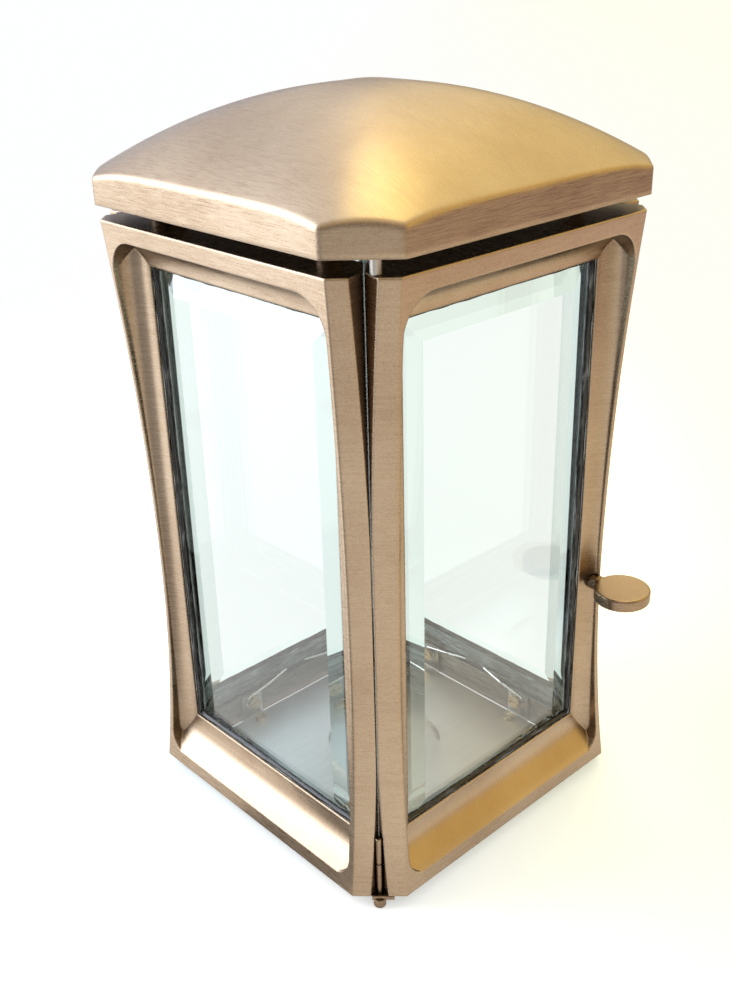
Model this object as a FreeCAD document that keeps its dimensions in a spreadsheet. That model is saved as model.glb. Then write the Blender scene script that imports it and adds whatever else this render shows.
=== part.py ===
import FreeCAD, Part
import Sketcher
import math
import os
from FreeCAD import Vector

# A square bronze grave lantern, standing on z = 0 with its door towards -Y.
# Each wall is a cast frame, drawn once in the door's place and turned to its own side.
os.makedirs("parts", exist_ok=True)
doc = FreeCAD.newDocument("grave_lantern")
sheet = doc.addObject("Spreadsheet::Sheet", "Sizes")

# Driving sizes in millimetres; heights of the frames count from their own lower edge.
SIZES = [
    ("overrun", 3.0, "how far cutting tools pass the metal"),
    ("foot_height", 5.05, "ground to the frames' lower edge"),
    ("frame_height", 212.6, "height of the four frames"),
    ("roof_gap", 4.9, "open slit between frames and roof"),
    ("waist_height", 82.0, "narrowest level above the frames' lower edge"),
    ("waist_half", 62.1, "outer half width at the waist"),
    ("bottom_flare", 5.0, "sweep of the sides from the waist out to the lower edge"),
    ("top_flare", 6.4, "sweep of the sides from the waist out to the upper edge"),
    ("facet_cut", 7.2, "corner facet at the waist from the sharp corner"),
    ("facet_bottom_flare", 5.0, "sweep of the facets from the waist out to the lower edge"),
    ("facet_top_flare", 6.2, "sweep of the facets from the waist out to the upper edge"),
    ("edge_rounding", 0.5, "outer edges of the frames"),
    ("mitre_gap", 0.5, "slit between two frames at a corner"),
    ("notch_setout", 1.0, "root of the corner notch from the facet at the waist"),
    ("notch_slope_share", 0.6745, "half width of the notch per depth"),
    ("post_width", 17.8, "outer side to the visible glass"),
    ("sight_low", 19.75, "lower edge of the visible glass"),
    ("sight_drop", 15.45, "upper edge of the frames to the visible glass"),
    ("lip_setback", 3.9, "outer side at the waist to the front of the glazing lip"),
    ("lip", 0.8, "thickness of the glazing lip"),
    ("crease_low", 5.2, "flat band under the sill"),
    ("crease_high", 5.9, "flat band over the opening"),
    ("crease_setout", 6.2, "edge of the opening at the waist from the visible glass"),
    ("crease_bottom_flare", 0.8, "edge of the opening from the waist out to the sill"),
    ("crease_top_flare", 1.9, "edge of the opening from the waist out to the head"),
    ("corner_low", 8.0, "rounding of the lower corners of the opening"),
    ("corner_high", 12.0, "rounding of the upper corners of the opening"),
    ("cove_radius", 8.0, "hollow moulding of the side posts"),
    ("pane_side_cover", 2.1, "pane hidden behind a post"),
    ("pane_low_cover", 7.8, "pane hidden behind the sill"),
    ("pane_high_cover", 3.0, "pane hidden behind the head"),
    ("pane_thickness", 5.0, "glass thickness"),
    ("bevel_width", 12.0, "width of the ground bevel"),
    ("bevel_depth", 3.0, "depth of the ground bevel at the edge"),
    ("pane_setback", 0.8, "lip to the flat front of the pane"),
    ("pane_clearance", 0.3, "play round a pane in its rebate"),
    ("back_ledge", 1.2, "back of the glass to the inner side of the frames"),
    ("seal_inset", 0.2, "how far the bedding strip stays behind the lip"),
    ("wire_radius", 0.5, "clip wire"),
    ("clip_place", 25.0, "clip screws from the middle of the rail"),
    ("clip_screw_drop", 3.7, "clip screws from the edge of the pane"),
    ("clip_loop_radius", 2.8, "middle line of the clip's eye"),
    ("clip_half_gap", 5.0, "tips of the clip arms from the middle of the rail"),
    ("clip_knee", 9.0, "clip arm from the screw to its knee"),
    ("clip_rise", 4.5, "clip arm above the screw"),
    ("clip_tip_rise", 0.8, "slope of the clip arm beyond its knee"),
    ("screw_radius", 1.25, "clip and floor screws"),
    ("screw_head_radius", 2.75, "head of clip screws"),
    ("screw_head_height", 1.5, "head of clip screws"),
    ("screw_bite", 5.0, "clip screw length inside the rail"),
    ("slot_width", 0.7, "screwdriver slot"),
    ("slot_depth", 0.7, "screwdriver slot"),
    ("bracket_thickness", 1.0, "floor bracket sheet"),
    ("bracket_width", 10.0, "floor bracket width"),
    ("bracket_cover", 3.25, "upright leg of a floor bracket above its screw"),
    ("bracket_shelf", 9.4, "shelf of a floor bracket"),
    ("floor_gap", 2.8, "floor plate to the inner side of the frames"),
    ("floor_thickness", 1.2, "floor plate sheet"),
    ("well_radius", 20.2, "candle well in the floor plate"),
    ("well_depth", 2.2, "candle well below the floor"),
    ("floor_screw_inset", 3.6, "floor screws from the plate's edge"),
    ("floor_screw_length", 3.0, "floor screws below the plate"),
    ("floor_screw_head", 2.3, "head radius of the floor screws"),
    ("floor_screw_head_height", 1.2, "head height of the floor screws"),
    ("rod_inset", 2.8, "corner rods inside the facet at the lower edge"),
    ("rod_radius", 1.05, "corner rods in the notches"),
    ("rod_height", 23.0, "top of the lower corner rods above the lower edge"),
    ("rod_play", 0.5, "free groove in the door round a corner rod"),
    ("corner_pin_depth", 16.0, "upper corner pins"),
    ("neck_height", 12.0, "turned neck of the hinge corner's rod above the lower edge"),
    ("neck_width", 0.6, "turned neck"),
    ("neck_depth", 0.35, "turned neck"),
    ("foot_inset", 1.7, "feet inside the facet at the lower edge"),
    ("foot_radius", 2.2, "feet"),
    ("foot_rounding", 1.0, "lower edge of the feet"),
    ("hinge_inset", 2.1, "hinge line inside the facet at the lower edge"),
    ("hinge_offset", 3.3, "hinge line from the diagonal on the door's side"),
    ("hinge_slit", 0.2, "slit between the door and the pieces over and under it"),
    ("hinge_pin_radius", 0.8, "hinge pins"),
    ("hinge_pin_play", 0.05, "running play of the hinge pins"),
    ("hinge_pin_bite", 5.0, "hinge pins inside the door"),
    ("hinge_pin_root", 6.0, "upper hinge pin inside its stud"),
    ("stud_radius", 1.7, "upper hinge stud"),
    ("stud_socket", 9.0, "upper hinge stud inside the roof"),
    ("plate_thickness", 1.4, "hinge plate under the corner"),
    ("plate_inset", 0.4, "outer edge of the hinge plate inside the facet at the lower edge"),
    ("plate_depth", 4.3, "hinge plate along the diagonal"),
    ("plate_left", 2.6, "hinge plate on the fixed frame's side of the diagonal"),
    ("plate_right", 5.0, "hinge plate on the door's side of the diagonal"),
    ("roof_overhang", 1.5, "roof beyond the frames' upper edge"),
    ("roof_corner_cut", 16.1, "corner cut of the roof along each side"),
    ("roof_rim", 11.1, "height of the roof's rim at the middle of a side"),
    ("roof_side_drop", 23.4, "dome height lost at the middle of a side"),
    ("roof_wall", 3.6, "cast wall of the roof"),
    ("roof_power_share", 4.8, "squareness of the dome's level lines"),
    ("roof_rounding", 1.6, "rounding of the roof's edges"),
    ("spacer_setback", 4.3, "roof spacers from the side of the visible glass"),
    ("spacer_inset", 3.6, "roof spacers from the inner side of the frames"),
    ("spacer_radius", 4.0, "roof spacers"),
    ("boss_radius", 4.6, "screw bosses in the roof"),
    ("roof_screw_radius", 2.0, "roof screws"),
    ("roof_screw_head", 3.4, "head of the roof screws"),
    ("roof_screw_sink", 3.2, "sinking of the roof screws' heads"),
    ("roof_screw_bite", 8.0, "roof screws inside the bosses"),
    ("hole_play", 0.15, "play round a screw in a plain hole"),
    ("latch_setout", 5.7, "latch spindle from the side of the visible glass"),
    ("latch_height", 77.0, "latch spindle above the lower edge"),
    ("disc_radius", 10.0, "thumb disc"),
    ("disc_thickness", 4.5, "thumb disc"),
    ("disc_gap", 1.1, "outer side at the waist to the near edge of the thumb disc"),
    ("disc_rounding", 0.7, "edges of the thumb disc"),
    ("shoulder_radius", 2.8, "thick part of the spindle"),
    ("shoulder_sink", 1.7, "seat of the spindle's shoulder inside the outer side at the waist"),
    ("spindle_radius", 2.2, "spindle through the post"),
    ("spindle_play", 0.05, "running play of the spindle"),
    ("spindle_setback", 0.2, "end of the thick spindle inside the frame's inner side"),
    ("tenon_radius", 1.5, "spindle end that carries the cam"),
    ("cam_thickness", 1.6, "latch cam"),
    ("cam_half_width", 2.4, "latch cam"),
    ("cam_reach", 6.0, "latch cam from the spindle to its tip"),
    ("cam_play", 0.6, "free space round the cam in the right frame"),
    ("strike_gap", 0.8, "free space beside the cam before the strike wall"),
    ("cam_screw_radius", 0.8, "screw that holds the cam"),
    ("cam_screw_head", 2.3, "head radius of the cam screw"),
    ("cam_screw_head_height", 0.7, "head height of the cam screw"),
    ("cam_screw_length", 4.0, "cam screw inside the spindle"),
]

# Places that follow from those sizes: half widths and depths count from the middle of the lantern.
FOLLOWING = {
    "bottom_half": "waist_half + bottom_flare",
    "top_half": "waist_half + top_flare",
    "facet_waist": "waist_half * sqrt(2) - facet_cut",
    "facet_bottom": "facet_waist + facet_bottom_flare",
    "facet_top": "facet_waist + facet_top_flare",
    "notch_start": "facet_waist + notch_setout",
    "sight_half": "waist_half - post_width",
    "sight_high": "frame_height - sight_drop",
    "sight_face": "waist_half - lip_setback",
    "glass_front": "sight_face - lip - pane_setback",
    "glass_back": "glass_front - pane_thickness",
    "inner_face": "glass_back - back_ledge",
    "crease_waist_half": "sight_half + crease_setout",
    "crease_bottom_half": "crease_waist_half + crease_bottom_flare",
    "crease_top_half": "crease_waist_half + crease_top_flare",
    "pane_half": "sight_half + pane_side_cover",
    "pane_low": "sight_low - pane_low_cover",
    "pane_high": "sight_high + pane_high_cover",
    "clip_arm": "clip_place - clip_half_gap",
    "clip_screw_height": "pane_low - clip_screw_drop",
    "bracket_leg": "clip_screw_height + bracket_cover",
    "floor_half": "inner_face - floor_gap",
    "rod_diagonal": "facet_bottom - rod_inset",
    "foot_diagonal": "facet_bottom - foot_inset",
    "hinge_diagonal": "facet_bottom - hinge_inset",
    "plate_outer": "facet_bottom - plate_inset",
    "roof_half": "top_half + roof_overhang",
    "roof_rise": "roof_rim + roof_side_drop",
    "spacer_place": "sight_half - spacer_setback",
    "spacer_depth": "inner_face + spacer_inset",
    "latch_place": "sight_half + latch_setout",
    "disc_centre": "waist_half + disc_gap + disc_radius",
    "shoulder_face": "waist_half - shoulder_sink",
    "spindle_end": "inner_face - spindle_setback",
    "strike_edge": "latch_place + cam_half_width + strike_gap",
    "pocket_end": "latch_place + cam_reach + cam_play",
    "pocket_back": "spindle_end - cam_thickness - cam_screw_head_height - cam_play",
}
for row, (alias, size, note) in enumerate(SIZES, start=1):
    sheet.set("A%d" % row, alias)
    sheet.set("B%d" % row, str(size))
    sheet.set("C%d" % row, note)
    sheet.setAlias("B%d" % row, alias)
doc.recompute()


def sized(formula):
    """Write each alias of a formula as its cell of the sheet, and each place that follows as its formula."""
    words = []
    word = ""
    for letter in formula + " ":
        if letter.isalnum() or letter == "_":
            word += letter
            continue
        if word in FOLLOWING:
            word = "(%s)" % sized(FOLLOWING[word])
        elif word in ALIASES:
            word = "Sizes." + word
        words.append(word + letter)
        word = ""
    return "".join(words).strip()


ALIASES = {alias for alias, size, note in SIZES}


def value(formula):
    """The number that a formula gives with the sheet's present sizes."""
    return float(sheet.evalExpression(sized(formula)))


def bind(thing, **formulas):
    """Bind properties of a document object to formulas of the sheet."""
    for name, formula in formulas.items():
        thing.setExpression(name, sized(formula))


def move(thing, x="0", y="0", z="0", turn=None):
    """Place an object by three formulas, turned by a fixed rotation."""
    if turn is not None:
        thing.Placement.Rotation = turn
    for letter, formula in zip("xyz", (x, y, z)):
        thing.setExpression(".Placement.Base." + letter, sized(formula))


UP = FreeCAD.Rotation()
TO_FRONT = FreeCAD.Rotation(Vector(1, 0, 0), 90)
TO_BACK = FreeCAD.Rotation(Vector(1, 0, 0), -90)


def rod(name, radius, length, x="0", y="0", z="0", turn=UP):
    """A cylinder that starts at the given place and runs along its turned axis."""
    thing = doc.addObject("Part::Cylinder", name)
    bind(thing, Radius=radius, Height=length)
    move(thing, x, y, z, turn)
    return thing


def block(name, low, high):
    """A box between two corners, each given by three formulas."""
    thing = doc.addObject("Part::Box", name)
    sides = ["(%s) - (%s)" % (far, near) for near, far in zip(low, high)]
    bind(thing, Length=sides[0], Width=sides[1], Height=sides[2])
    move(thing, *low)
    return thing


def cut(name, base, *tools):
    """A piece less one or more tools."""
    thing = doc.addObject("Part::Cut", name)
    thing.Base = base
    thing.Tool = tools[0] if len(tools) == 1 else joined(name + "_tools", *tools)
    return thing


def joined(name, *pieces):
    thing = doc.addObject("Part::MultiFuse", name)
    thing.Shapes = list(pieces)
    return thing


def shared(name, *pieces):
    thing = doc.addObject("Part::MultiCommon", name)
    thing.Shapes = list(pieces)
    return thing


def group(name, *pieces):
    thing = doc.addObject("Part::Compound", name)
    thing.Links = list(pieces)
    return thing


def rounded(name, base, radius, picked):
    """A piece with a fillet on each edge that the test picks."""
    doc.recompute()
    thing = doc.addObject("Part::Fillet", name)
    thing.Base = base
    thing.Edges = [(number, value(radius), value(radius))
                   for number, edge in enumerate(base.Shape.Edges, start=1) if picked(edge)]
    return thing


def outline(name, corners, arcs=None, turn=UP, owner=None, plane=None):
    """A closed sketch through corners given as formulas.

    arcs maps the number of a side to its radius and to the side of the chord, +1 for
    left and -1 for right when walking on, on which the centre lies.
    """
    arcs = arcs or {}
    if owner is None:
        sketch = doc.addObject("Sketcher::SketchObject", name)
        sketch.Placement.Rotation = turn
    else:
        sketch = owner.newObject("Sketcher::SketchObject", name)
        sketch.AttachmentSupport = (origin_plane(owner, plane), [""])
        sketch.MapMode = "FlatFace"
    spots = [Vector(value(u), value(v), 0) for u, v in corners]
    count = len(corners)
    starts = []
    ends = []
    for i, here in enumerate(spots):
        there = spots[(i + 1) % count]
        if i not in arcs:
            sketch.addGeometry(Part.LineSegment(here, there), False)
            starts.append(1)
            ends.append(2)
            continue
        radius, side = arcs[i]
        chord = there - here
        left = Vector(-chord.y, chord.x, 0).normalize()
        away = math.sqrt(max(value(radius) ** 2 - (chord.Length / 2) ** 2, 0))
        centre = (here + there) * 0.5 + left * away * side
        first, last = (here, there) if side > 0 else (there, here)
        begin = math.atan2(first.y - centre.y, first.x - centre.x)
        finish = math.atan2(last.y - centre.y, last.x - centre.x)
        circle = Part.Circle(centre, Vector(0, 0, 1), value(radius))
        sketch.addGeometry(Part.ArcOfCircle(circle, begin, finish), False)
        starts.append(1 if side > 0 else 2)
        ends.append(2 if side > 0 else 1)
    for i in range(count):
        after = (i + 1) % count
        sketch.addConstraint(Sketcher.Constraint("Coincident", i, ends[i], after, starts[after]))
    for i, (u, v) in enumerate(corners):
        for kind, formula, place in (("DistanceX", u, spots[i].x), ("DistanceY", v, spots[i].y)):
            number = sketch.addConstraint(Sketcher.Constraint(kind, -1, 1, i, starts[i], place))
            sketch.setExpression("Constraints[%d]" % number, sized(formula))
    for i, (radius, side) in arcs.items():
        number = sketch.addConstraint(Sketcher.Constraint("Radius", i, value(radius)))
        sketch.setExpression("Constraints[%d]" % number, sized(radius))
    return sketch


def origin_plane(body, role):
    """One of a body's own origin planes."""
    for feature in body.Origin.OriginFeatures:
        if feature.Role == role:
            return feature
    raise ValueError(role)


def slab(name, sketch, direction, length, both_ways=False):
    """A sketch drawn out into a solid."""
    thing = doc.addObject("Part::Extrusion", name)
    thing.Base = sketch
    thing.DirMode = "Custom"
    thing.Dir = direction
    thing.Solid = True
    thing.Symmetric = both_ways
    bind(thing, LengthFwd=length)
    return thing


def arc_radius(run, bow):
    """Radius of an arc that is level at one end and has moved by bow after run."""
    return "((%s) ^ 2 + (%s) ^ 2) / (2 * (%s))" % (run, bow, bow)


# Levels and places that several pieces share, as formulas of the sheet.
FRAME_TOP = "foot_height + frame_height"
ROOF_LOW = FRAME_TOP + " + roof_gap"
WAIST = "foot_height + waist_height"
ACROSS = FreeCAD.Rotation(Vector(1, 1, 1), 120)
WIDE = "2 * (top_half + overrun)"

# The frame's section: two tangent arcs on the outside meet at the waist.
# The sketch's own axes lie along Y and Z, so that it is drawn as seen from the end of a rail.
section = outline(
    "frame_section",
    [("-(inner_face)", "foot_height"), ("-(bottom_half)", "foot_height"), ("-(waist_half)", WAIST),
     ("-(top_half)", FRAME_TOP), ("-(inner_face)", FRAME_TOP)],
    {1: (arc_radius("waist_height", "bottom_half - waist_half"), 1),
     2: (arc_radius("frame_height - waist_height", "top_half - waist_half"), 1)},
    turn=ACROSS)
section_slab = slab("frame_section_slab", section, Vector(1, 0, 0), WIDE, both_ways=True)

# The frame's plan: mitred ends, which open into a notch where the corners flare.
HALF_GAP = "mitre_gap / 2 * sqrt(2)"
NOTCH_ROOT = "notch_start / sqrt(2)"
NOTCH_RUN = "(top_half + overrun - notch_start / sqrt(2)) / (1 + notch_slope_share)"
plan_corners = [
    ("-(inner_face - overrun) + %s" % HALF_GAP, "-(inner_face - overrun)"),
    ("-(%s) + %s" % (NOTCH_ROOT, HALF_GAP), "-(%s)" % NOTCH_ROOT),
    ("-(%s) + %s - %s * (1 - notch_slope_share)" % (NOTCH_ROOT, HALF_GAP, NOTCH_RUN),
     "-(%s) - %s * (1 + notch_slope_share)" % (NOTCH_ROOT, NOTCH_RUN))]
mirrored = [("-(%s)" % u, v) for u, v in reversed(plan_corners)]
plan = outline("frame_plan", plan_corners + mirrored)
plan_slab = slab("frame_plan_slab", plan, Vector(0, 0, 1), FRAME_TOP + " + overrun")

# Each corner facet is a slab drawn out across the corner, with the same waist as the section.
facet_slabs = []
for end, angle in (("left", -45), ("right", 45)):
    facet = outline(
        "facet_" + end,
        [("0", "foot_height - overrun"), ("-(facet_bottom)", "foot_height - overrun"),
         ("-(facet_bottom)", "foot_height"), ("-(facet_waist)", WAIST), ("-(facet_top)", FRAME_TOP),
         ("-(facet_top)", FRAME_TOP + " + overrun"), ("0", FRAME_TOP + " + overrun")],
        {2: (arc_radius("waist_height", "facet_bottom - facet_waist"), 1),
         3: (arc_radius("frame_height - waist_height", "facet_top - facet_waist"), 1)},
        turn=FreeCAD.Rotation(Vector(0, 0, 1), angle).multiply(ACROSS))
    sideways = FreeCAD.Rotation(Vector(0, 0, 1), angle).multVec(Vector(1, 0, 0))
    facet_slabs.append(slab("facet_slab_" + end, facet, sideways, "2 * (%s)" % WIDE, both_ways=True))

# The opening: three drawn-out outlines share the hollow of a rounded frame with coved sides.
LOW = "foot_height + crease_low"
HIGH = FRAME_TOP + " - crease_high"
HEAD_COVE = "frame_height - crease_high - sight_high"
FAR = "top_half + overrun"
crease = outline(
    "opening_outline",
    [("-(crease_bottom_half - corner_low)", LOW), ("crease_bottom_half - corner_low", LOW),
     ("crease_bottom_half", LOW + " + corner_low"), ("crease_waist_half", WAIST),
     ("crease_top_half", HIGH + " - corner_high"), ("crease_top_half - corner_high", HIGH),
     ("-(crease_top_half - corner_high)", HIGH), ("-(crease_top_half)", HIGH + " - corner_high"),
     ("-(crease_waist_half)", WAIST), ("-(crease_bottom_half)", LOW + " + corner_low")],
    {1: ("corner_low", 1), 4: ("corner_high", 1), 6: ("corner_high", 1), 9: ("corner_low", 1),
     2: (arc_radius("waist_height - crease_low - corner_low", "crease_bottom_half - crease_waist_half"), -1),
     3: (arc_radius("frame_height - crease_high - corner_high - waist_height",
                    "crease_top_half - crease_waist_half"), -1),
     7: (arc_radius("frame_height - crease_high - corner_high - waist_height",
                    "crease_top_half - crease_waist_half"), -1),
     8: (arc_radius("waist_height - crease_low - corner_low", "crease_bottom_half - crease_waist_half"), -1)},
    turn=TO_FRONT)
crease_slab = slab("opening_outline_slab", crease, Vector(0, -1, 0), FAR)
cove = outline(
    "cove_plan",
    [("-(sight_half)", "-(sight_face)"), ("-(sight_half + cove_radius)", "-(sight_face + cove_radius)"),
     ("-(sight_half + cove_radius)", "-(%s)" % FAR), ("sight_half + cove_radius", "-(%s)" % FAR),
     ("sight_half + cove_radius", "-(sight_face + cove_radius)"), ("sight_half", "-(sight_face)")],
    {0: ("cove_radius", 1), 4: ("cove_radius", 1)})
cove_slab = slab("cove_plan_slab", cove, Vector(0, 0, 1), FRAME_TOP)
sill = outline(
    "sill_section",
    [("-(sight_face)", "foot_height + sight_low"), ("-(bottom_half)", LOW), ("-(%s)" % FAR, LOW),
     ("-(%s)" % FAR, HIGH), ("-(sight_face + %s)" % HEAD_COVE, HIGH),
     ("-(sight_face)", "foot_height + sight_high")],
    {0: (arc_radius("sight_low - crease_low", "bottom_half - sight_face"), -1), 4: (HEAD_COVE, -1)},
    turn=ACROSS)
sill_slab = slab("sill_section_slab", sill, Vector(1, 0, 0), WIDE, both_ways=True)
hollow = shared("opening_hollow", crease_slab, cove_slab, sill_slab)
sight = block(
    "sight_hole",
    ("-(sight_half)", "-(sight_face + overrun)", "foot_height + sight_low"),
    ("sight_half", "-(inner_face - overrun)", "foot_height + sight_high"))
rebate = block(
    "rebate",
    ("-(pane_half + pane_clearance)", "-(sight_face - lip)", "foot_height + pane_low - pane_clearance"),
    ("pane_half + pane_clearance", "-(inner_face - overrun)", "foot_height + pane_high + pane_clearance"))
sharp_blank = shared("sharp_blank", section_slab, plan_slab, *facet_slabs)
blank = rounded("frame_blank", sharp_blank, "edge_rounding",
                lambda edge: edge.BoundBox.YMax < -value("waist_half - edge_rounding"))
casting = cut("frame_casting", blank, hollow, sight, rebate)

# Screw places on a frame's inner side, as low and high mirror images.
MIDDLE = "foot_height + (pane_low + pane_high) / 2"
LOW_SCREW = "foot_height + clip_screw_height"
HIGH_SCREW = "2 * (%s) - (%s)" % (MIDDLE, LOW_SCREW)
SCREW_PLACES = [(side, level) for level in ("low", "high") for side in (-1, 1)]


def screw_height(level):
    return LOW_SCREW if level == "low" else HIGH_SCREW


def slotted(name, thing, turn, x, y, z, radius):
    """Cut a screwdriver slot into a head whose top lies at the given place."""
    slot = doc.addObject("Part::Box", name + "_slot")
    bind(slot, Length="2 * (%s + overrun)" % radius, Width="slot_width", Height="2 * slot_depth")
    if turn is TO_BACK:
        move(slot, "%s - %s - overrun" % (x, radius), "%s - slot_depth" % y, "%s + slot_width / 2" % z, turn)
    else:
        move(slot, "%s - %s - overrun" % (x, radius), "%s - slot_width / 2" % y, "%s - slot_depth" % z, turn)
    return cut(name, thing, slot)


def clip_wire(name, side, level, backing):
    """A bent wire: an eye round its screw, a knee past the rail and an arm whose tip presses on the pane."""
    up = 1 if level == "low" else -1
    inward = -side
    screw_x = side * value("clip_place")
    screw_z = value(screw_height(level))
    eye = value("clip_loop_radius")
    flat_y = -value("inner_face - wire_radius - " + backing)
    press_y = -value("glass_back - wire_radius")
    knee = Vector(screw_x + inward * value("clip_knee"), flat_y, screw_z + up * value("clip_rise"))
    tip = Vector(screw_x + inward * value("clip_arm"), press_y, knee.z + up * value("clip_tip_rise"))
    run = value("clip_knee")
    rise = value("clip_rise")
    lean = math.atan2(rise, run) - math.asin(eye / math.hypot(run, rise))

    def on_eye(angle):
        across = -inward * eye * math.sin(angle)
        return Vector(screw_x + across, flat_y, screw_z + up * eye * math.cos(angle))

    meet = on_eye(lean)
    middle = on_eye(lean + math.radians(EYE_TURN) / 2)
    close = on_eye(lean + math.radians(EYE_TURN))
    edges = [Part.makeLine(tip, knee), Part.makeLine(knee, meet), Part.Arc(meet, middle, close).toShape()]
    ring = Part.Wire([Part.makeCircle(value("wire_radius"), tip, knee - tip)])
    wire = doc.addObject("Part::Feature", name)
    wire.Shape = Part.Wire(edges).makePipeShell([ring], True, False)
    return wire


EYE_TURN = 290


def build_side(side_name, angle, extra_tools, backing):
    """One glazed wall: casting, bedding strip, pane, clips and clip screws, turned to its side."""
    turned = FreeCAD.Rotation(Vector(0, 0, 1), angle)
    drills = []
    for number, (side, level) in enumerate(SCREW_PLACES):
        drills.append(rod("%s_drill_%d" % (side_name, number), "screw_radius", "screw_bite + overrun",
                          "%d * clip_place" % side, "-(inner_face - overrun)", screw_height(level), TO_FRONT))
    frame = cut(side_name + "_frame_casting", casting, *(drills + extra_tools))
    frame.Label = "door_frame" if side_name == "door" else "frame_" + side_name

    slab_part = block(
        side_name + "_pane_slab",
        ("-(pane_half)", "-(glass_front - bevel_depth)", "foot_height + pane_low"),
        ("pane_half", "-(glass_back)", "foot_height + pane_high"))
    bevel = doc.addObject("Part::Wedge", side_name + "_pane_bevel")
    bind(bevel, Xmin="-(pane_half)", Xmax="pane_half", X2min="-(pane_half - bevel_width)",
         X2max="pane_half - bevel_width", Ymin="0", Ymax="bevel_depth",
         Zmin="-(pane_high - pane_low) / 2", Zmax="(pane_high - pane_low) / 2",
         Z2min="-(pane_high - pane_low) / 2 + bevel_width", Z2max="(pane_high - pane_low) / 2 - bevel_width")
    move(bevel, "0", "-(glass_front - bevel_depth)", MIDDLE, FreeCAD.Rotation(Vector(0, 0, 1), 180))
    pane = joined(side_name + "_pane", slab_part, bevel)
    pane.Label = "pane_" + side_name

    strip = block(
        side_name + "_strip",
        ("-(pane_half)", "-(sight_face - lip)", "foot_height + pane_low"),
        ("pane_half", "-(glass_front - bevel_depth)", "foot_height + pane_high"))
    view = block(
        side_name + "_strip_view",
        ("-(sight_half + seal_inset)", "-(sight_face)", "foot_height + sight_low - seal_inset"),
        ("sight_half + seal_inset", "-(inner_face)", "foot_height + sight_high + seal_inset"))
    seal = cut(side_name + "_seal", strip, view, slab_part, bevel)
    seal.Label = "glazing_strip_" + side_name

    wires = []
    screws = []
    for number, (side, level) in enumerate(SCREW_PLACES):
        behind = backing if level == "low" else "0"
        wires.append(clip_wire("%s_wire_%d" % (side_name, number), side, level, behind))
        place = "%d * clip_place" % side
        head_base = "-(inner_face - %s - 2 * wire_radius)" % behind
        shank = rod("%s_shank_%d" % (side_name, number), "screw_radius",
                    "screw_bite + %s + 2 * wire_radius" % behind,
                    place, head_base, screw_height(level), TO_FRONT)
        head = rod("%s_head_%d" % (side_name, number), "screw_head_radius", "screw_head_height",
                   place, head_base, screw_height(level), TO_BACK)
        plain = joined("%s_plain_screw_%d" % (side_name, number), shank, head)
        top = "%s + screw_head_height" % head_base
        screws.append(slotted("%s_screw_%d" % (side_name, number), plain, TO_BACK, place, top,
                              screw_height(level), "screw_head_radius"))
    clips = group(side_name + "_clips", *wires)
    clips.Label = "glass_clips_" + side_name
    fixings = group(side_name + "_clip_screws", *screws)
    fixings.Label = "clip_screws_" + side_name
    for thing in (frame, pane, seal, clips, fixings):
        thing.Placement.Rotation = turned
    return [frame, pane, seal, clips, fixings]


# Corner rods and pins stand in the notches; the hinge line lies beside the notch, inside the door.
CORNER = "rod_diagonal / sqrt(2)"
ROD_TOP = "foot_height + rod_height"
PIN_START = FRAME_TOP + " - corner_pin_depth"
BELOW = "foot_height - overrun"
ABOVE = FRAME_TOP + " + overrun"
HINGE_X = "-((hinge_diagonal - hinge_offset) / sqrt(2))"
HINGE_Y = "-((hinge_diagonal + hinge_offset) / sqrt(2))"


def upright(name, radius, x, y, low, high):
    """A vertical cylinder between two levels."""
    return rod(name, radius, "(%s) - (%s)" % (high, low), x, y, low)


def groove(name, end, low, high, play="0"):
    """The groove for a corner rod at one end of a frame, in the frame's drawn place."""
    return upright(name, "rod_radius + " + play, "%d * (%s)" % (end, CORNER), "-(%s)" % CORNER, low, high)


# Grooves are tight where a fixed frame holds a rod, and free where the door swings past one.
door_tools = [
    groove("door_hinge_groove", -1, BELOW, ROD_TOP + " + rod_play", "rod_play"),
    groove("door_latch_groove", 1, BELOW, ROD_TOP + " + rod_play", "rod_play"),
    upright("door_low_bore", "hinge_pin_radius + hinge_pin_play", HINGE_X, HINGE_Y, BELOW,
            "foot_height + hinge_pin_bite + hinge_slit"),
    upright("door_high_bore", "hinge_pin_radius + hinge_pin_play", HINGE_X, HINGE_Y,
            FRAME_TOP + " - hinge_pin_bite - hinge_slit", ABOVE)]
left_tools = [
    groove("left_front_seat", 1, BELOW, ROD_TOP),
    groove("left_back_seat", -1, BELOW, ROD_TOP),
    groove("left_back_pin_seat", -1, PIN_START, ABOVE)]
back_tools = [
    groove("back_left_seat", 1, BELOW, ROD_TOP),
    groove("back_right_seat", -1, BELOW, ROD_TOP),
    groove("back_left_pin_seat", 1, PIN_START, ABOVE),
    groove("back_right_pin_seat", -1, PIN_START, ABOVE)]
right_tools = [
    groove("right_front_seat", -1, BELOW, ROD_TOP),
    groove("right_back_seat", 1, BELOW, ROD_TOP),
    groove("right_back_pin_seat", 1, PIN_START, ABOVE)]

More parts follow.
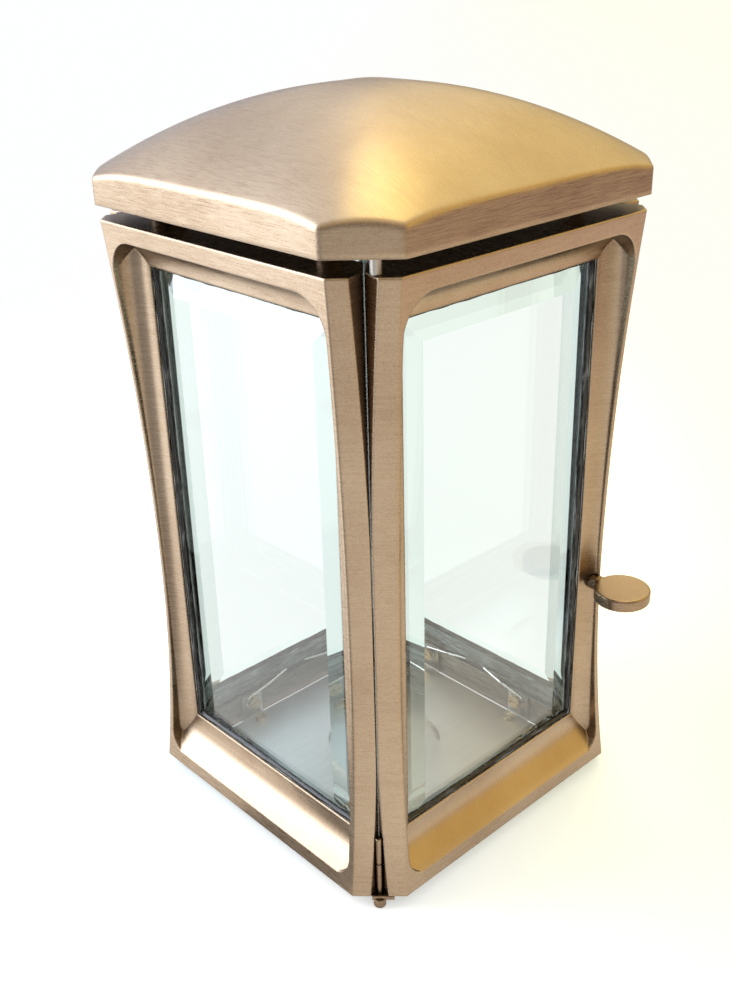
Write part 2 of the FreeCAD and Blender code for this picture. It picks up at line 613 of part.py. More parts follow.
# Latch openings: a bore with a sunk seat in the door's post, a pocket in the right frame's post.
LATCH_Z = "foot_height + latch_height"
door_tools.append(rod("latch_bore", "spindle_radius + spindle_play", FAR, "latch_place", "0",
                      LATCH_Z, TO_FRONT))
door_tools.append(rod("latch_seat", "shoulder_radius + hole_play", FAR, "latch_place", "-(shoulder_face)",
                      LATCH_Z, TO_FRONT))
POCKET_LOW = LATCH_Z + " - cam_reach - cam_play"
POCKET_HIGH = LATCH_Z + " + cam_half_width + cam_play"
right_tools.append(block(
    "strike_relief",
    ("-(strike_edge + overrun)", "-(strike_edge)", POCKET_LOW),
    ("-(pocket_back)", "-(inner_face - overrun)", POCKET_HIGH)))
right_tools.append(block(
    "strike_pocket",
    ("-(spindle_end + hole_play)", "-(pocket_end)", POCKET_LOW),
    ("-(pocket_back)", "-(inner_face - overrun)", POCKET_HIGH)))

# Screw holes for the roof go up through the head rails of the three fixed frames.
SPACERS = [("left", -1), ("left", 1), ("back", -1), ("back", 1), ("right", -1), ("right", 1)]
fixed_tools = {"left": left_tools, "back": back_tools, "right": right_tools}
HEAD_SINK = "foot_height + pane_high + pane_clearance + roof_screw_sink"
for side_name, side in SPACERS:
    tag = "%s_%s" % (side_name, "a" if side < 0 else "b")
    place = "%d * spacer_place" % side
    fixed_tools[side_name].append(rod("roof_hole_" + tag, "roof_screw_radius + hole_play", "frame_height / 4",
                                      place, "-(spacer_depth)", HEAD_SINK))
    fixed_tools[side_name].append(rod("roof_sink_" + tag, "roof_screw_head + hole_play",
                                      "roof_screw_sink + overrun", place, "-(spacer_depth)",
                                      HEAD_SINK + " - roof_screw_sink - overrun"))

SIDES = [("door", 0, door_tools, "0"), ("right", 90, right_tools, "bracket_thickness"),
         ("back", 180, back_tools, "bracket_thickness"), ("left", -90, left_tools, "bracket_thickness")]
ANGLES = {side_name: angle for side_name, angle, tools, backing in SIDES}
finished = []
for side_name, angle, tools, backing in SIDES:
    finished += build_side(side_name, angle, tools, backing)


def turned_place(side_name, x, y):
    """Formulas of a drawn place after it is turned to its side."""
    return {"door": (x, y), "right": ("-(%s)" % y, x), "back": ("-(%s)" % x, "-(%s)" % y),
            "left": (y, "-(%s)" % x)}[side_name]


# Each foot is a button with a rod that stands in the notch; upper pins join the back corners.
FOOT = "foot_diagonal / sqrt(2)"
FOOT_TOP = "foot_height - hinge_slit"
PLATE_LOW = FOOT_TOP + " - plate_thickness"


def foot(corner, x, y, button_top):
    """A button on the ground and its rod, drawn at the corner with the signs x and y."""
    button = upright("button_" + corner, "foot_radius", "%d * (%s)" % (x, FOOT), "%d * (%s)" % (y, FOOT),
                     "0", button_top)
    stem = upright("stem_" + corner, "rod_radius", "%d * (%s)" % (x, CORNER), "%d * (%s)" % (y, CORNER),
                   "foot_rounding", ROD_TOP)
    soft = rounded("rounded_button_" + corner, button, "foot_rounding",
                   lambda edge: edge.BoundBox.ZMax < value("foot_rounding"))
    return joined("foot_" + corner, soft, stem)


FOOT_CORNERS = [("right_front", 1, -1), ("right_back", 1, 1), ("left_back", -1, 1)]
feet = group("feet", *[foot(corner, x, y, FOOT_TOP) for corner, x, y in FOOT_CORNERS])
feet.Label = "corner_feet"
corner_pins = group("corner_pins", *[
    upright("corner_pin_" + corner, "rod_radius", "%d * (%s)" % (x, CORNER), CORNER, PIN_START, FRAME_TOP)
    for corner, x in (("right", 1), ("left", -1))])
corner_pins.Label = "upper_corner_pins"
finished += [feet, corner_pins]

# The hinge corner's foot has a turned neck and carries a plate with the lower hinge pin.
neck = cut("neck_ring",
           upright("neck_outside", "rod_radius + overrun", "-(%s)" % CORNER, "-(%s)" % CORNER,
                   "foot_height + neck_height", "foot_height + neck_height + neck_width"),
           upright("neck_core", "rod_radius - neck_depth", "-(%s)" % CORNER, "-(%s)" % CORNER,
                   "foot_height", ROD_TOP))
hinge_foot = cut("hinge_corner_foot", foot("left_front", -1, -1, PLATE_LOW), neck)
hinge_foot.Label = "hinge_foot"
plate_blank = doc.addObject("Part::Box", "plate_blank")
bind(plate_blank, Length="plate_left + plate_right", Width="plate_depth", Height="plate_thickness")
move(plate_blank, "-(plate_left + plate_outer) / sqrt(2)", "(plate_left - plate_outer) / sqrt(2)", PLATE_LOW,
     FreeCAD.Rotation(Vector(0, 0, 1), -45))
plate = cut("plate", plate_blank,
            upright("plate_rod_hole", "rod_radius", "-(%s)" % CORNER, "-(%s)" % CORNER, "0", "foot_height"),
            upright("plate_pin_hole", "hinge_pin_radius", HINGE_X, HINGE_Y, "0", "foot_height"))
plate.Label = "hinge_plate"
low_pin = upright("low_pin", "hinge_pin_radius", HINGE_X, HINGE_Y, PLATE_LOW, "foot_height + hinge_pin_bite")
low_pin.Label = "hinge_pin_lower"

# The upper hinge pin hangs from a stud in the roof.
STUD_LOW = FRAME_TOP + " + hinge_slit"
stud = cut("stud",
           upright("stud_body", "stud_radius", HINGE_X, HINGE_Y, STUD_LOW, ROOF_LOW + " + stud_socket"),
           upright("stud_bore", "hinge_pin_radius", HINGE_X, HINGE_Y, FRAME_TOP,
                   STUD_LOW + " + hinge_pin_root"))
stud.Label = "hinge_stud_upper"
high_pin = upright("high_pin", "hinge_pin_radius", HINGE_X, HINGE_Y, FRAME_TOP + " - hinge_pin_bite",
                   STUD_LOW + " + hinge_pin_root")
high_pin.Label = "hinge_pin_upper"
finished += [hinge_foot, plate, low_pin, stud, high_pin]

# The floor plate is a pressed sheet with a round candle well, made as one body.
SHELF_TOP = "foot_height + bracket_thickness"
FLOOR_TOP = SHELF_TOP + " + floor_thickness"
floor = doc.addObject("PartDesign::Body", "floor_body")
sheet_outline = outline(
    "floor_outline",
    [("-(floor_half)", "-(floor_half)"), ("floor_half", "-(floor_half)"), ("floor_half", "floor_half"),
     ("-(floor_half)", "floor_half")], owner=floor, plane="XY_Plane")
bind(sheet_outline, **{"AttachmentOffset.Base.z": SHELF_TOP})
pad = floor.newObject("PartDesign::Pad", "floor_pad")
pad.Profile = sheet_outline
bind(pad, Length="floor_thickness")


def round_sketch(name, body, radius, level):
    """A circle on the body's ground plane, lifted to a level."""
    sketch = body.newObject("Sketcher::SketchObject", name)
    sketch.AttachmentSupport = (origin_plane(body, "XY_Plane"), [""])
    sketch.MapMode = "FlatFace"
    sketch.addGeometry(Part.Circle(Vector(), Vector(0, 0, 1), value(radius)), False)
    sketch.addConstraint(Sketcher.Constraint("Coincident", 0, 3, -1, 1))
    number = sketch.addConstraint(Sketcher.Constraint("Radius", 0, value(radius)))
    sketch.setExpression("Constraints[%d]" % number, sized(radius))
    bind(sketch, **{"AttachmentOffset.Base.z": level})
    return sketch


cup = floor.newObject("PartDesign::Pad", "well_cup")
cup.Profile = round_sketch("cup_circle", floor, "well_radius + floor_thickness",
                           SHELF_TOP + " - well_depth")
bind(cup, Length="well_depth")
well = floor.newObject("PartDesign::Pocket", "well_pocket")
well.Profile = round_sketch("well_circle", floor, "well_radius", FLOOR_TOP)
bind(well, Length="well_depth")
HOLE_FAR = "floor_half - floor_screw_inset"
for side_name in ("left", "back", "right"):
    for side in (-1, 1):
        tag = "%s_%s" % (side_name, "a" if side < 0 else "b")
        x, y = turned_place(side_name, "%d * clip_place" % side, "-(%s)" % HOLE_FAR)
        spot = floor.newObject("Sketcher::SketchObject", "floor_hole_" + tag)
        spot.AttachmentSupport = (origin_plane(floor, "XY_Plane"), [""])
        spot.MapMode = "FlatFace"
        middle = Vector(value(x), value(y), 0)
        spot.addGeometry(Part.Circle(middle, Vector(0, 0, 1), value("screw_radius")), False)
        for kind, formula in (("DistanceX", x), ("DistanceY", y)):
            number = spot.addConstraint(Sketcher.Constraint(kind, -1, 1, 0, 3, value(formula)))
            spot.setExpression("Constraints[%d]" % number, sized(formula))
        number = spot.addConstraint(Sketcher.Constraint("Radius", 0, value("screw_radius + hole_play")))
        spot.setExpression("Constraints[%d]" % number, sized("screw_radius + hole_play"))
        bind(spot, **{"AttachmentOffset.Base.z": FLOOR_TOP})
        drill = floor.newObject("PartDesign::Pocket", "floor_drill_" + tag)
        drill.Profile = spot
        bind(drill, Length="floor_thickness + overrun")
floor.Label = "floor_plate"
finished.append(floor)

# Angle brackets carry the plate; the clip screw above each one also holds its upright leg.
brackets = []
floor_screws = []
for side_name, side in SPACERS:
    tag = "%s_%s" % (side_name, "a" if side < 0 else "b")
    left_edge = "%d * clip_place - bracket_width / 2" % side
    right_edge = "%d * clip_place + bracket_width / 2" % side
    leg = block("leg_" + tag, (left_edge, "-(inner_face)", "foot_height"),
                (right_edge, "-(inner_face - bracket_thickness)", "foot_height + bracket_leg"))
    shelf = block("shelf_" + tag, (left_edge, "-(inner_face)", "foot_height"),
                  (right_edge, "-(inner_face - bracket_shelf)", SHELF_TOP))
    leg_hole = rod("leg_hole_" + tag, "screw_radius + hole_play", "bracket_thickness + 2 * overrun",
                   "%d * clip_place" % side, "-(inner_face - bracket_thickness - overrun)", LOW_SCREW,
                   TO_FRONT)
    shelf_hole = rod("shelf_hole_" + tag, "screw_radius", "bracket_thickness + 2 * overrun",
                     "%d * clip_place" % side, "-(%s)" % HOLE_FAR, "foot_height - overrun")
    bracket = cut("bracket_" + tag, joined("angle_" + tag, leg, shelf), leg_hole, shelf_hole)
    bracket.Placement.Rotation = FreeCAD.Rotation(Vector(0, 0, 1), ANGLES[side_name])
    brackets.append(bracket)
    x = "%d * clip_place" % side
    y = "-(%s)" % HOLE_FAR
    shank = rod("floor_shank_" + tag, "screw_radius", "floor_thickness + floor_screw_length", x, y,
                SHELF_TOP + " - floor_screw_length")
    head = rod("floor_head_" + tag, "floor_screw_head", "floor_screw_head_height", x, y, FLOOR_TOP)
    screw = slotted("floor_screw_" + tag, joined("floor_plain_" + tag, shank, head), UP, x, y,
                    FLOOR_TOP + " + floor_screw_head_height", "floor_screw_head")
    screw.Placement.Rotation = FreeCAD.Rotation(Vector(0, 0, 1), ANGLES[side_name])
    floor_screws.append(screw)
bracket_group = group("brackets", *brackets)
bracket_group.Label = "floor_brackets"
floor_screw_group = group("floor_screw_group", *floor_screws)
floor_screw_group.Label = "floor_screws"
finished += [bracket_group, floor_screw_group]


# The roof's dome: level lines are rounded squares and each profile is a parabola.
def dome(name, rise, half, side_drop, reach, base):
    """A solid under the dome, wider than the roof, standing on the level base."""
    power = value("roof_power_share")
    rows = []
    for i in range(GRID):
        row = []
        for j in range(GRID):
            x = reach * (2 * i / (GRID - 1) - 1)
            y = reach * (2 * j / (GRID - 1) - 1)
            level = ((abs(x) / half) ** power + (abs(y) / half) ** power) ** (2 / power)
            row.append(Vector(x, y, base + rise - side_drop * level))
        rows.append(row)
    skin = Part.BSplineSurface()
    skin.interpolate(rows)
    solid = skin.toShape().extrude(Vector(0, 0, -2 * rise))
    thing = doc.addObject("Part::Feature", name)
    thing.Shape = solid
    return thing


GRID = 33


def octagon(name, half, corner_cut, low, height):
    """A square prism with cut corners."""
    side = "(%s) - (%s)" % (half, corner_cut)
    corners = []
    for x, y in ((1, 1), (-1, 1), (-1, -1), (1, -1)):
        pair = [("%d * (%s)" % (x, half), "%d * (%s)" % (y, side)),
                ("%d * (%s)" % (x, side), "%d * (%s)" % (y, half))]
        corners += pair if x * y > 0 else pair[::-1]
    sketch = outline(name + "_outline", corners)
    prism = slab(name, sketch, Vector(0, 0, 1), height)
    move(prism, "0", "0", low)
    return prism


roof_low = value(ROOF_LOW)
REACH = value("roof_half + overrun")
outer_dome = dome("outer_dome", value("roof_rise"), value("roof_half"), value("roof_side_drop"),
                  REACH, roof_low)
inner_dome = dome("inner_dome", value("roof_rise - roof_wall"), value("roof_half"), value("roof_side_drop"),
                  REACH, roof_low)
outer_prism = octagon("outer_prism", "roof_half", "roof_corner_cut", ROOF_LOW, "roof_rise + overrun")
inner_prism = octagon("inner_prism", "roof_half - roof_wall", "roof_corner_cut", ROOF_LOW + " - overrun",
                      "roof_rise + overrun")
sharp_roof = shared("sharp_roof", outer_dome, outer_prism)
solid_roof = rounded("solid_roof", sharp_roof, "roof_rounding",
                     lambda edge: edge.BoundBox.ZMax > value(ROOF_LOW + " + roof_rounding"))
roof_hollow = shared("roof_hollow", inner_dome, inner_prism)
roof_shell = cut("roof_shell", solid_roof, roof_hollow)
bosses = []
boss_holes = []
for side_name, side in SPACERS:
    tag = "%s_%s" % (side_name, "a" if side < 0 else "b")
    x, y = turned_place(side_name, "%d * spacer_place" % side, "-(spacer_depth)")
    bosses.append(rod("boss_" + tag, "boss_radius", "roof_rise", x, y, ROOF_LOW))
    boss_holes.append(rod("boss_hole_" + tag, "roof_screw_radius", "roof_screw_bite + overrun", x, y,
                          ROOF_LOW + " - overrun"))
bosses.append(rod("hinge_boss", "boss_radius", "roof_rise", HINGE_X, HINGE_Y, ROOF_LOW))
boss_holes.append(upright("hinge_socket", "stud_radius", HINGE_X, HINGE_Y, ROOF_LOW + " - overrun",
                          ROOF_LOW + " + stud_socket"))
boss_set = shared("boss_set", joined("boss_rods", *bosses), solid_roof)
roof_cast = joined("roof_cast", roof_shell, boss_set)
roof = cut("roof", roof_cast, *boss_holes)
roof.Label = "roof"
finished.append(roof)

# Spacers and screws that carry the roof above the three fixed frames.
spacers = []
roof_screws = []
for side_name, side in SPACERS:
    tag = "%s_%s" % (side_name, "a" if side < 0 else "b")
    x, y = turned_place(side_name, "%d * spacer_place" % side, "-(spacer_depth)")
    tube = rod("spacer_tube_" + tag, "spacer_radius", "roof_gap", x, y, FRAME_TOP)
    bore = rod("spacer_bore_" + tag, "roof_screw_radius + hole_play", "roof_gap + 2 * overrun", x, y,
               FRAME_TOP + " - overrun")
    spacers.append(cut("spacer_" + tag, tube, bore))
    head = rod("roof_head_" + tag, "roof_screw_head", "roof_screw_sink - hole_play", x, y,
               HEAD_SINK + " - roof_screw_sink + hole_play")
    shank = rod("roof_shank_" + tag, "roof_screw_radius",
                "(%s) + roof_screw_bite - (%s)" % (ROOF_LOW, HEAD_SINK), x, y, HEAD_SINK)
    roof_screws.append(joined("roof_screw_" + tag, head, shank))
spacer_group = group("spacers", *spacers)
spacer_group.Label = "roof_spacers"
roof_screw_group = group("roof_screw_group", *roof_screws)
roof_screw_group.Label = "roof_screws"
finished += [spacer_group, roof_screw_group]

# The latch: a thumb disc and spindle in one piece, a cam on the spindle's end and its screw.
disc_blank = rod("disc_blank", "disc_radius", "disc_thickness", "latch_place", "-(disc_centre)",
                 LATCH_Z + " - disc_thickness / 2")
disc = rounded("disc", disc_blank, "disc_rounding",
               lambda edge: edge.BoundBox.ZLength < value("disc_rounding"))
shoulder = rod("shoulder", "shoulder_radius", "disc_centre - disc_radius / 2 - shoulder_face",
               "latch_place", "-(shoulder_face)", LATCH_Z, TO_FRONT)
trimmed = shared("shoulder_trimmed", shoulder, block(
    "shoulder_bounds",
    ("latch_place - 2 * shoulder_radius", "-(disc_centre)", LATCH_Z + " - disc_thickness / 2"),
    ("latch_place + 2 * shoulder_radius", "-(shoulder_face)", LATCH_Z + " + disc_thickness / 2")))
near_shoulder = rod("near_shoulder", "shoulder_radius", "disc_gap + shoulder_sink",
                    "latch_place", "-(shoulder_face)", LATCH_Z, TO_FRONT)
spindle = rod("spindle", "spindle_radius", "shoulder_face - spindle_end", "latch_place", "-(spindle_end)",
              LATCH_Z, TO_FRONT)
tenon = rod("tenon", "tenon_radius", "cam_thickness + disc_radius / 2", "latch_place",
            "-(spindle_end - cam_thickness)", LATCH_Z, TO_FRONT)
knob_blank = joined("knob_blank", disc, trimmed, near_shoulder, spindle, tenon)
tapped = rod("cam_screw_hole", "cam_screw_radius", "cam_screw_length + overrun", "latch_place",
             "-(spindle_end - cam_thickness - overrun)", LATCH_Z, TO_FRONT)
knob = cut("knob", knob_blank, tapped)
knob.Label = "latch_knob"
cam_round = rod("cam_round", "cam_half_width", "cam_thickness", "latch_place",
                "-(spindle_end - cam_thickness)", LATCH_Z, TO_FRONT)
cam_arm = block("cam_arm", ("latch_place - cam_half_width", "-(spindle_end)", LATCH_Z + " - cam_reach"),
                ("latch_place + cam_half_width", "-(spindle_end - cam_thickness)", LATCH_Z))
cam_hole = rod("cam_hole", "tenon_radius", "cam_thickness + 2 * overrun", "latch_place",
               "-(spindle_end - cam_thickness - overrun)", LATCH_Z, TO_FRONT)
cam = cut("cam", joined("cam_blank", cam_round, cam_arm), cam_hole)
cam.Label = "latch_cam"
cam_back = "-(spindle_end - cam_thickness)"
cam_plain = joined(
    "cam_plain_screw",
    rod("cam_shank", "cam_screw_radius", "cam_screw_length", "latch_place", cam_back, LATCH_Z, TO_FRONT),
    rod("cam_head", "cam_screw_head", "cam_screw_head_height", "latch_place", cam_back, LATCH_Z, TO_BACK))
cam_screw = slotted("cam_screw", cam_plain, TO_BACK, "latch_place", cam_back + " + cam_screw_head_height",
                    LATCH_Z, "cam_screw_head")
cam_screw.Label = "latch_screw"
finished += [knob, cam, cam_screw]

doc.recompute()
for thing in doc.Objects:
    if "Invalid" in thing.State or "Error" in thing.State:
        raise RuntimeError("%s: %s" % (thing.Label, thing.State))
for thing in finished:
    if thing.Shape.isNull() or not thing.Shape.isValid():
        raise RuntimeError("bad shape: " + thing.Label)
    thing.Shape.exportStep("parts/%s.step" % thing.Label)
    print(thing.Label, len(thing.Shape.Solids), round(thing.Shape.Volume, 1))
print(len(finished), "nodes")
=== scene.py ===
import math
import bpy
from mathutils import Matrix, Vector


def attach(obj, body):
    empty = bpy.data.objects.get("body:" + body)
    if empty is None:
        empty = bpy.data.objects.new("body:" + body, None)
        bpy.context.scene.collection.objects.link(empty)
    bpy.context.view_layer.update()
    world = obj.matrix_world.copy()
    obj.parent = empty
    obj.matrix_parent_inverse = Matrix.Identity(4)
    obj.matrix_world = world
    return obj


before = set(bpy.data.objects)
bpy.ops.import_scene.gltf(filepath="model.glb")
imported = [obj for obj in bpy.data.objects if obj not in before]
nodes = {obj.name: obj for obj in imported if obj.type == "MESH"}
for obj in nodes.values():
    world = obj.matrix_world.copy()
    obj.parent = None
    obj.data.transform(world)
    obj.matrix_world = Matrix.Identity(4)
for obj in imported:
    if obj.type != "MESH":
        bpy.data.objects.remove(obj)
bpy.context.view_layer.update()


# The camera stands where the photograph was taken, near the hinge corner and above the roof.
# It looks down on the lantern through a lens as long as that of the photograph.
LENS = 42.4504
SENSOR_WIDTH = 36.0
NEAREST_SEEN = 0.01
STAND = Vector((-0.261028, -0.278228, 0.296430))
AIM = Vector((-0.003338, 0.003058, 0.114780))
ROLL = math.radians(-1.6165)
bpy.ops.object.select_all(action="DESELECT")
bpy.ops.object.camera_add(location=STAND)
camera = bpy.context.object
camera.name = "camera"
look = (AIM - STAND).normalized()
level = look.cross(Vector((0, 0, 1))).normalized()
up = level.cross(look)
right = level * math.cos(ROLL) + up * math.sin(ROLL)
up = up * math.cos(ROLL) - level * math.sin(ROLL)
camera.matrix_world = Matrix.Translation(STAND) @ Matrix((right, up, -look)).transposed().to_4x4()
camera.data.sensor_width = SENSOR_WIDTH
camera.data.sensor_fit = "AUTO"
camera.data.lens = LENS
camera.data.clip_start = NEAREST_SEEN
bpy.context.scene.camera = camera
bpy.context.scene.view_settings.view_transform = "Standard"


# The table is a white sheet that runs on behind the lantern into daylight, where it is only seen as white.
# It keeps the lantern's soft shadow, which painted light tints a little yellow on the door's side and a little
# blue on the other.
# In the bronze it shows as a painted reflection, white towards the window at the back left and brown
# elsewhere, with painted shade under the lantern, ahead and to the left.
def plain_material(name):
    """A new material with its nodes and its shader."""
    material = bpy.data.materials.new(name)
    material.use_nodes = True
    tree = material.node_tree
    return material, tree, tree.nodes["Principled BSDF"]


def node(tree, kind, **settings):
    """Add a node; a setting whose name is an input socket is written there, any other on the node."""
    made = tree.nodes.new(kind)
    for name, setting in settings.items():
        label = name.replace("_", " ")
        if label in made.inputs:
            made.inputs[label].default_value = setting
        else:
            setattr(made, name, setting)
    return made


def joined(tree, kind, *sources, socket=0, **settings):
    """Add a node and lead one source after another into its first inputs; a number is written there."""
    made = node(tree, kind, **settings)
    for place, source in enumerate(sources):
        if hasattr(source, "links"):
            tree.links.new(source, made.inputs[place])
        else:
            made.inputs[place].default_value = source
    return made.outputs[socket]


def reckoned(tree, operation, *sources):
    """One step of arithmetic with numbers that vary."""
    return joined(tree, "ShaderNodeMath", *sources, operation=operation)


def along(tree, spot, direction):
    """How far a place lies in a direction, or how nearly two directions agree."""
    return joined(tree, "ShaderNodeVectorMath", spot, direction, operation="DOT_PRODUCT", socket="Value")


def ramp(tree, source, stops):
    """A colour ramp over a source, from its stops of place and colour."""
    made = node(tree, "ShaderNodeValToRGB")
    points = made.color_ramp.elements
    while len(points) < len(stops):
        points.new(0.5)
    for point, (place, colour) in zip(points, stops):
        point.position = place
        point.color = (*colour, 1)
    tree.links.new(source, made.inputs[0])
    return made.outputs[0]


def fade(tree, source, low, high, start=0.0, end=1.0):
    """A smooth change from start to end while the source goes from low to high."""
    made = node(tree, "ShaderNodeMapRange", interpolation_type="SMOOTHSTEP", From_Min=low, From_Max=high,
                To_Min=start, To_Max=end)
    tree.links.new(source, made.inputs["Value"])
    return made.outputs[0]


def own_place(tree):
    """The place on the piece, in the lantern's own frame."""
    return node(tree, "ShaderNodeTexCoord").outputs["Object"]


def dress(piece, material):
    """Give a piece one material all over."""
    piece.data.materials.clear()
    piece.data.materials.append(material)


TABLE_WIDTH = 40.0
TOWARDS_DOOR_SIDE = (0.69, -0.72, 0.0)
TOWARDS_FRONT = (0.25, -0.97, 0.0)
TOWARDS_LEFT = (-0.976, -0.217, 0.0)
NEAR_PAINTED_LIGHT_TINTS = [(0.0, (0.80, 0.93, 1.0)), (0.5, (0.97, 0.97, 0.95)), (1.0, (1.0, 0.98, 0.58))]
FAR_TINTS = [(0.0, (0.99, 0.995, 1.0)), (1.0, (1.0, 0.995, 0.87))]
PAINTED_REFLECTION_TINTS = [(0.0, (1.0, 1.0, 1.0)), (0.20, (0.95, 0.97, 1.0)), (0.42, (0.56, 0.53, 0.50)),
                  (0.575, (0.54, 0.48, 0.36)), (0.85, (0.58, 0.43, 0.39))]
NEAR_GLOW = 0.46

# A change begins and ends at the first two numbers, in metres, or for the left as a cosine.
# Two more are its strengths there.
NEAR_SPREAD = (-0.25, 0.25)
FAR_SPREAD = (-0.5, 0.8)
MIRRORED_SPREAD = (-1.4, 1.6)
SHADOW_ENDS = (0.28, 0.75)
MIRRORED_LIGHT = (0.4, 1.5, 2.7, 2.1)
# Painted shade in the table as the bronze mirrors it: under the lantern, far ahead and towards the left.
PAINTED_SHADE_UNDER_LANTERN = (0.04, 0.13, 0.55, 1.0)
PAINTED_SHADE_AHEAD = (0.50, 0.80, 1.0, 0.42)
PAINTED_SHADE_LEFTWARDS = (0.88, 0.975, 1.0, 0.35)

bpy.ops.object.select_all(action="DESELECT")
bpy.ops.mesh.primitive_plane_add(size=TABLE_WIDTH, location=(0, 0, 0))
table = bpy.context.object
table.name = "table"
sheet, tree, paper = plain_material("white_sheet")
spot = own_place(tree)
across = along(tree, spot, TOWARDS_DOOR_SIDE)
ahead = along(tree, spot, TOWARDS_FRONT)
away = joined(tree, "ShaderNodeVectorMath", spot, operation="LENGTH", socket="Value")
heading = joined(tree, "ShaderNodeVectorMath", spot, operation="NORMALIZE")
leftwards = along(tree, heading, TOWARDS_LEFT)

paper.inputs["Roughness"].default_value = 0.6
paper.inputs["Specular IOR Level"].default_value = 0.2
# Painted light: the paper and its glow are tinted yellow towards the door's side and blue on the other.
near_painted_light = ramp(tree, fade(tree, across, *NEAR_SPREAD), NEAR_PAINTED_LIGHT_TINTS)
tree.links.new(near_painted_light, paper.inputs["Base Color"])
glow = node(tree, "ShaderNodeEmission", Strength=NEAR_GLOW)
tree.links.new(near_painted_light, glow.inputs[0])
white = node(tree, "ShaderNodeEmission", Strength=1.0)
tree.links.new(ramp(tree, fade(tree, across, *FAR_SPREAD), FAR_TINTS), white.inputs[0])
lit = joined(tree, "ShaderNodeAddShader", paper.outputs[0], glow.outputs[0])
shown = joined(tree, "ShaderNodeMixShader", fade(tree, away, *SHADOW_ENDS), lit, white.outputs[0])

# The table seen in the bronze is a painted reflection: bright towards the window, dimmed by painted shade.
mirrored = node(tree, "ShaderNodeEmission")
strength = fade(tree, away, *MIRRORED_LIGHT)
for source, painted_shade in ((away, PAINTED_SHADE_UNDER_LANTERN), (ahead, PAINTED_SHADE_AHEAD), (leftwards, PAINTED_SHADE_LEFTWARDS)):
    strength = reckoned(tree, "MULTIPLY", strength, fade(tree, source, *painted_shade))
tree.links.new(strength, mirrored.inputs["Strength"])
tree.links.new(ramp(tree, fade(tree, across, *MIRRORED_SPREAD), PAINTED_REFLECTION_TINTS), mirrored.inputs[0])

rays = node(tree, "ShaderNodeLightPath").outputs
seen = joined(tree, "ShaderNodeMixShader", rays["Is Glossy Ray"], paper.outputs[0], mirrored.outputs[0])
seen = joined(tree, "ShaderNodeMixShader", rays["Is Transmission Ray"], seen, white.outputs[0])
seen = joined(tree, "ShaderNodeMixShader", rays["Is Camera Ray"], seen, shown)
tree.links.new(seen, tree.nodes["Material Output"].inputs["Surface"])
dress(table, sheet)


# Daylight comes from all round. The camera and the glass see it as a white room, a little creamy to the right.
# The bronze mirrors a bright window at the back left, pale light behind, golden light above and to the right.
ROOM_TINTS = [(0.0, (0.955, 0.965, 0.945)), (0.5, (0.99, 1.0, 0.99)), (1.0, (0.99, 0.985, 0.87))]
ROOM_SPREAD = (-0.6, 0.6)
AMBIENT_LIGHT = 0.80
AMBIENT_COLOUR = (0.95, 0.97, 1.0, 1)
MIRRORED_ROOM = (0.45, 0.40, 0.33)

# Each has its direction, the cosines at which it begins and is full, and its light; less than nothing darkens.
WINDOWS = [
    ((-0.60, 0.67, 0.36), 0.76, 0.92, (3.80, 4.20, 4.80)),
    ((-0.69, 0.72, 0.02), 0.86, 0.98, (1.90, 2.00, 2.15)),
    ((0.10, 0.78, 0.62), 0.62, 0.96, (0.95, 1.02, 1.20)),
    ((0.69, 0.70, 0.14), 0.70, 0.97, (-0.15, -0.13, -0.05)),
    ((0.72, 0.22, 0.66), 0.72, 0.96, (1.45, 1.20, 0.50)),
    ((0.36, 0.23, 0.90), 0.945, 0.990, (2.30, 2.00, 0.80)),
    ((0.58, -0.74, 0.34), 0.70, 0.95, (1.00, 0.66, 0.08)),
    ((-0.10, -0.15, 0.98), 0.90, 0.985, (0.90, 0.75, 0.45)),
    ((-0.45, -0.45, 0.77), 0.80, 0.96, (0.50, 0.40, 0.24)),
    ((-0.69, -0.69, 0.20), 0.70, 0.98, (-0.12, -0.12, -0.10))]

world = bpy.data.worlds.new("daylight")
bpy.context.scene.world = world
world.use_nodes = True
world.cycles.sampling_method = "NONE"
tree = world.node_tree
tree.nodes.clear()
place = node(tree, "ShaderNodeTexCoord").outputs["Generated"]
mirrored_light = joined(tree, "ShaderNodeCombineXYZ", *MIRRORED_ROOM)
for direction, outer, inner, colour in WINDOWS:
    facing = along(tree, place, Vector(direction).normalized())
    part = joined(tree, "ShaderNodeVectorMath", fade(tree, facing, outer, inner), colour, operation="MULTIPLY")
    mirrored_light = joined(tree, "ShaderNodeVectorMath", mirrored_light, part, operation="ADD")
mirror = node(tree, "ShaderNodeBackground", Strength=1.0)
tree.links.new(mirrored_light, mirror.inputs[0])
room = node(tree, "ShaderNodeBackground", Strength=1.0)
room_tint = ramp(tree, fade(tree, along(tree, place, TOWARDS_DOOR_SIDE), *ROOM_SPREAD), ROOM_TINTS)
tree.links.new(room_tint, room.inputs[0])
ambient = node(tree, "ShaderNodeBackground", Strength=AMBIENT_LIGHT)
ambient.inputs[0].default_value = AMBIENT_COLOUR
rays = node(tree, "ShaderNodeLightPath").outputs
direct = reckoned(tree, "MAXIMUM", rays["Is Camera Ray"], rays["Is Transmission Ray"])
seen = joined(tree, "ShaderNodeMixShader", rays["Is Glossy Ray"], ambient.outputs[0], mirror.outputs[0])
seen = joined(tree, "ShaderNodeMixShader", direct, seen, room.outputs[0])
tree.links.new(seen, node(tree, "ShaderNodeOutputWorld").inputs["Surface"])


